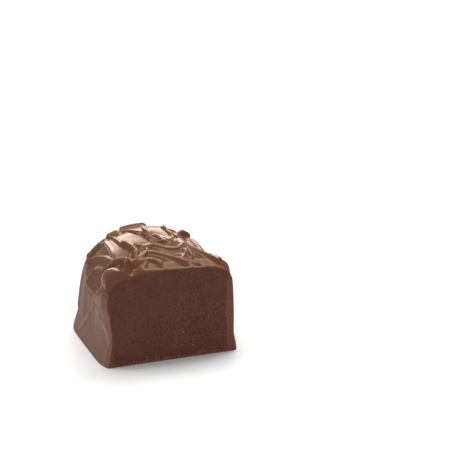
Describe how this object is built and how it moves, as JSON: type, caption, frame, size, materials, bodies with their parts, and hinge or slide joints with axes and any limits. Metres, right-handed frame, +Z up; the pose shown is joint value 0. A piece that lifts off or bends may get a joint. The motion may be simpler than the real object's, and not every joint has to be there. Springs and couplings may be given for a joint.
{
  "type": "chocolate truffle",
  "caption": "Chocolate truffle cut open at the front: a moulded milk chocolate coating with drizzled strands on its top, filled with ganache.",
  "frame": {"origin": "middle of the base, under the middle of the truffle's bounding box", "axes": "+X to the right along the cut face, +Y from the cut face into the truffle, +Z up"},
  "size_m": [0.0313, 0.0272, 0.0245],
  "materials": {
    "milk_chocolate": "satin walls and a glossier drizzled top",
    "ganache": "matt, cut with a knife"
  },
  "bodies": {
    "root": {"coating": "milk_chocolate", "ganache": "ganache"}
  },
  "joints": []
}
